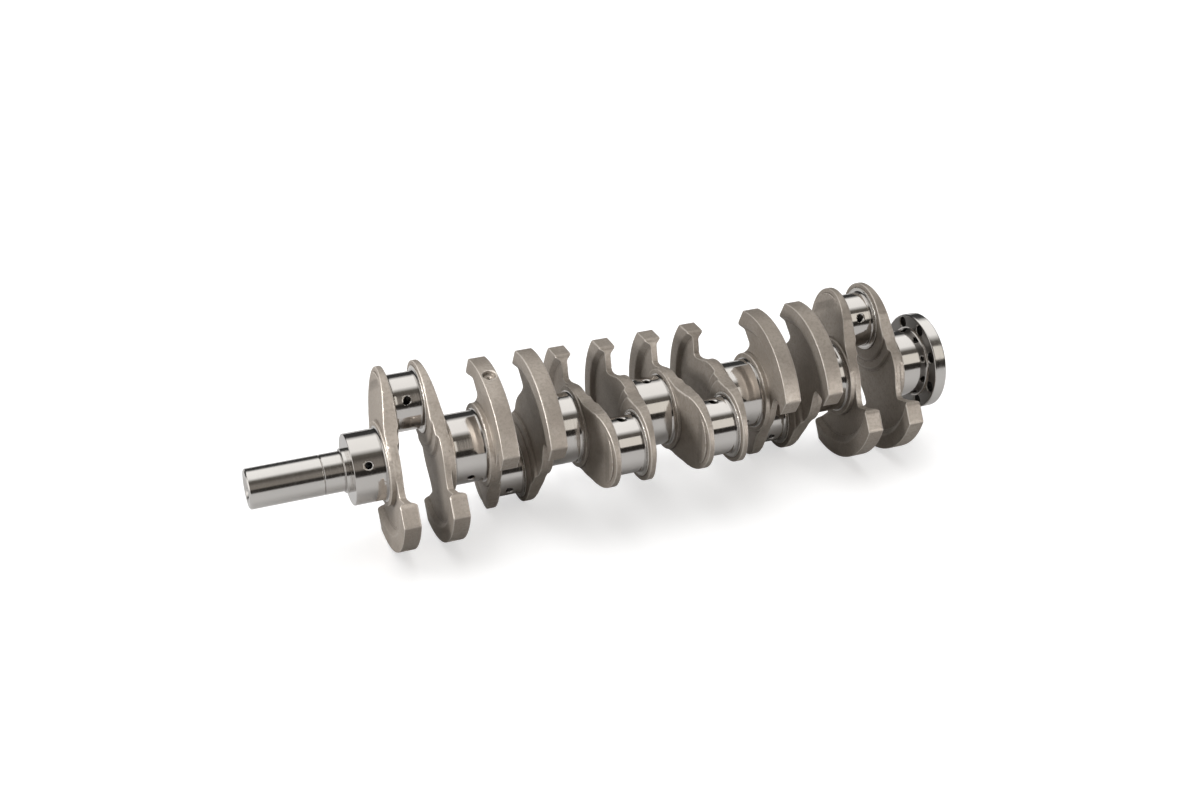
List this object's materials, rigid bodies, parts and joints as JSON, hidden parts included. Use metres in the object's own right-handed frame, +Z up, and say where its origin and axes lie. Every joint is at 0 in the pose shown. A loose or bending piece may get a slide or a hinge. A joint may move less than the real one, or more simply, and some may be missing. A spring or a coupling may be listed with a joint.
{
  "type": "crankshaft",
  "caption": "One-piece straight-six crankshaft with polished journals, counterweighted webs, a pulley snout and a bolted flywheel flange.",
  "frame": {"origin": "on the crank axis, at the middle of the centre main journal (the fourth)", "axes": "+X along the crank axis from the snout to the flywheel flange, +Z up as the shaft lies on a bench, with the first throw at 58.7 degrees from +Y towards +Z"},
  "size_m": [0.6753, 0.1671, 0.162],
  "materials": {
    "ground_journal": "ground and polished",
    "machined_end": "fine turned",
    "forged_web": "satin, shot peened"
  },
  "bodies": {
    "root": {"snout": "machined_end", "main_journal_1": "ground_journal", "main_journal_2": "ground_journal", "main_journal_3": "ground_journal", "main_journal_4": "ground_journal", "main_journal_5": "ground_journal", "main_journal_6": "ground_journal", "main_journal_7": "ground_journal", "crankpin_1": "ground_journal", "crankpin_2": "ground_journal", "crankpin_3": "ground_journal", "crankpin_4": "ground_journal", "crankpin_5": "ground_journal", "crankpin_6": "ground_journal", "web_1": "forged_web", "web_2": "forged_web", "web_3": "forged_web", "web_4": "forged_web", "web_5": "forged_web", "web_6": "forged_web", "web_7": "forged_web", "web_8": "forged_web", "web_9": "forged_web", "web_10": "forged_web", "web_11": "forged_web", "web_12": "forged_web", "rear_flange": "machined_end"}
  },
  "joints": []
}
